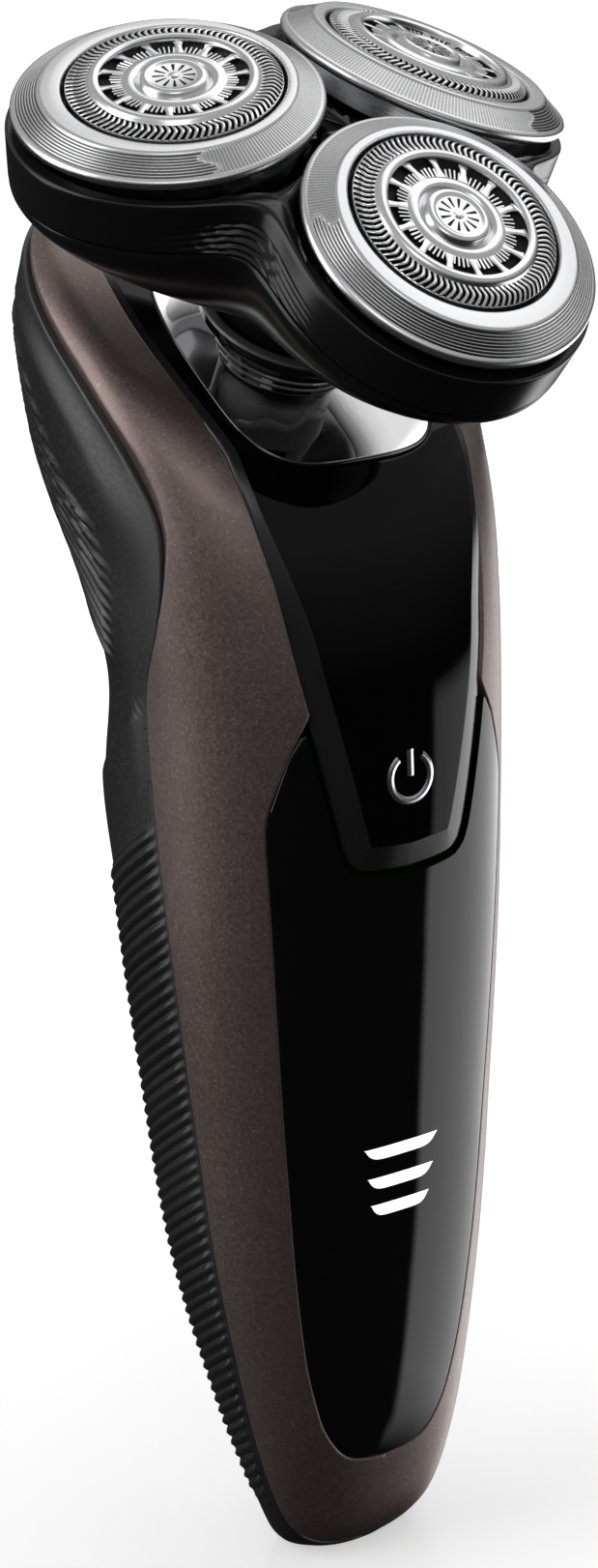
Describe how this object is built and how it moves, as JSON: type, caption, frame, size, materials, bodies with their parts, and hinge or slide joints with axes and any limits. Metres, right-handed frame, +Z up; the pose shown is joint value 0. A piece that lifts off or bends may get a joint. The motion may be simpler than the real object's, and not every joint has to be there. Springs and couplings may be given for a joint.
{
  "type": "rotary electric shaver",
  "caption": "Cordless rotary electric shaver: curved handle with a rear rubber grip, a tilted neck and flexing round shaving heads with spinning cutters.",
  "frame": {"origin": "on the rest surface, below the middle of the shaver's bounding box", "axes": "+Z up, -Y towards the user side with the display, +X to the right seen from the front"},
  "size_m": [0.063, 0.0683, 0.1675],
  "materials": {
    "brown_paint": "satin dark brown metallic lacquer",
    "rubber_grip": "matt black rubber",
    "black_gloss": "high-gloss black",
    "black_satin": "satin black",
    "dark_plastic": "moulded dark grey",
    "chrome": "mirror chrome",
    "steel": "turned and brushed",
    "bright_steel": "polished",
    "white_lens": "bright lens",
    "brass": "bright",
    "copper_armature": "wound copper",
    "cell_wrap": "shrink wrap",
    "board": "coated board",
    "acetal": "natural acetal",
    "seal": "soft seal"
  },
  "bodies": {
    "handle": {"frame_shell": "brown_paint", "back_grip": "rubber_grip", "inner_chassis": "dark_plastic", "neck_recess": "chrome", "neck_collar": "black_gloss", "display_panel": "black_gloss", "charge_lights": "white_lens", "plate_hinge_pins": "steel", "plate_spring": "steel", "motor_can": "steel", "motor_mount": "dark_plastic", "battery_cell": "cell_wrap", "battery_contacts": "brass", "circuit_board": "board", "power_switch": "steel", "charging_socket": "dark_plastic", "socket_pins": "brass", "chassis_screws": "steel", "panel_seal": "seal"},
    "power_plate": {"front_plate": "black_gloss", "power_symbol": "white_lens", "plate_hinge_lugs": "dark_plastic"},
    "rotor": {"motor_rotor": "copper_armature", "drive_coupler": "acetal"},
    "shaving_unit": {"unit_coupling": "black_satin", "latch_springs": "steel", "lower_housing": "black_satin", "gear_plate": "dark_plastic"},
    "pinion": {"center_pinion": "acetal"},
    "cover": {"top_cover": "black_gloss", "pivot_bearings": "dark_plastic"},
    "drive_front": {"gear_front": "acetal"},
    "tilt_front": {"pivot_front": "steel"},
    "head_front": {"ring_front": "steel", "cap_front": "bright_steel", "retainer_front": "dark_plastic"},
    "blades_front": {"cutter_front": "bright_steel"},
    "drive_left": {"gear_left": "acetal"},
    "tilt_left": {"pivot_left": "steel"},
    "head_left": {"ring_left": "steel", "cap_left": "bright_steel", "retainer_left": "dark_plastic"},
    "blades_left": {"cutter_left": "bright_steel"},
    "drive_right": {"gear_right": "acetal"},
    "tilt_right": {"pivot_right": "steel"},
    "head_right": {"ring_right": "steel", "cap_right": "bright_steel", "retainer_right": "dark_plastic"},
    "blades_right": {"cutter_right": "bright_steel"}
  },
  "joints": [
    {"name": "power_press", "type": "hinge", "parent": "handle", "child": "power_plate", "pos_m": [0, 0.0156, 0.136], "axis": [1, 0, 0], "range_deg": [0, 0.6], "stiffness_Nm_per_rad": 3, "springref_deg": -0.57},
    {"name": "motor_spin", "type": "hinge", "parent": "handle", "child": "rotor", "pos_m": [0, 0.0107, 0.12275], "axis": [0, -0.4226, 0.9063], "continuous": true},
    {"name": "unit_pull_off", "type": "slide", "parent": "handle", "child": "shaving_unit", "axis": [0, -0.4226, 0.9063], "range_m": [0, 0.03]},
    {"name": "pinion_spin", "type": "hinge", "parent": "shaving_unit", "child": "pinion", "pos_m": [0, -0.00028, 0.14631], "axis": [0, -0.4226, 0.9063], "continuous": true},
    {"name": "cover_lift", "type": "slide", "parent": "shaving_unit", "child": "cover", "axis": [0, -0.4226, 0.9063], "range_m": [0, 0.02]},
    {"name": "gear_front_spin", "type": "hinge", "parent": "shaving_unit", "child": "drive_front", "pos_m": [0, -0.01421, 0.14092], "axis": [0, -0.4226, 0.9063], "continuous": true},
    {"name": "head_front_tilt", "type": "hinge", "parent": "cover", "child": "tilt_front", "pos_m": [0, -0.01833, 0.1459], "axis": [1, 0, 0], "range_deg": [-2, 2], "stiffness_Nm_per_rad": 0.5},
    {"name": "head_front_rock", "type": "hinge", "parent": "tilt_front", "child": "head_front", "pos_m": [0, -0.01833, 0.1459], "axis": [0, -0.7604, -0.6494], "range_deg": [-2, 2], "stiffness_Nm_per_rad": 0.5},
    {"name": "cutter_front_spin", "type": "hinge", "parent": "head_front", "child": "blades_front", "pos_m": [0, -0.02093, 0.14894], "axis": [0, -0.6494, 0.7604], "continuous": true},
    {"name": "gear_left_spin", "type": "hinge", "parent": "shaving_unit", "child": "drive_left", "pos_m": [-0.0129, 0.00605, 0.15037], "axis": [0, -0.4226, 0.9063], "continuous": true},
    {"name": "head_left_tilt", "type": "hinge", "parent": "cover", "child": "tilt_left", "pos_m": [-0.01431, 0.00414, 0.15638], "axis": [-0.5, -0.7849, -0.366], "range_deg": [-2, 2], "stiffness_Nm_per_rad": 0.5},
    {"name": "head_left_rock", "type": "hinge", "parent": "tilt_left", "child": "head_left", "pos_m": [-0.01431, 0.00414, 0.15638], "axis": [-0.8345, 0.5496, -0.0386], "range_deg": [-2, 2], "stiffness_Nm_per_rad": 0.5},
    {"name": "cutter_left_spin", "type": "hinge", "parent": "head_left", "child": "blades_left", "pos_m": [-0.01524, 0.003, 0.1601], "axis": [-0.2314, -0.2861, 0.9298], "continuous": true},
    {"name": "gear_right_spin", "type": "hinge", "parent": "shaving_unit", "child": "drive_right", "pos_m": [0.0129, 0.00605, 0.15037], "axis": [0, -0.4226, 0.9063], "continuous": true},
    {"name": "head_right_tilt", "type": "hinge", "parent": "cover", "child": "tilt_right", "pos_m": [0.01431, 0.00414, 0.15638], "axis": [-0.5, 0.7849, 0.366], "range_deg": [-2, 2], "stiffness_Nm_per_rad": 0.5},
    {"name": "head_right_rock", "type": "hinge", "parent": "tilt_right", "child": "head_right", "pos_m": [0.01431, 0.00414, 0.15638], "axis": [0.8345, 0.5496, -0.0386], "range_deg": [-2, 2], "stiffness_Nm_per_rad": 0.5},
    {"name": "cutter_right_spin", "type": "hinge", "parent": "head_right", "child": "blades_right", "pos_m": [0.01524, 0.003, 0.1601], "axis": [0.2314, -0.2861, 0.9298], "continuous": true}
  ],
  "couplings": [
    {"joint": "pinion_spin", "follows": "motor_spin", "ratio": 1},
    {"joint": "gear_front_spin", "follows": "motor_spin", "ratio": -0.45455},
    {"joint": "cutter_front_spin", "follows": "motor_spin", "ratio": -0.45455},
    {"joint": "gear_left_spin", "follows": "motor_spin", "ratio": -0.45455},
    {"joint": "cutter_left_spin", "follows": "motor_spin", "ratio": -0.45455},
    {"joint": "gear_right_spin", "follows": "motor_spin", "ratio": -0.45455},
    {"joint": "cutter_right_spin", "follows": "motor_spin", "ratio": -0.45455}
  ]
}
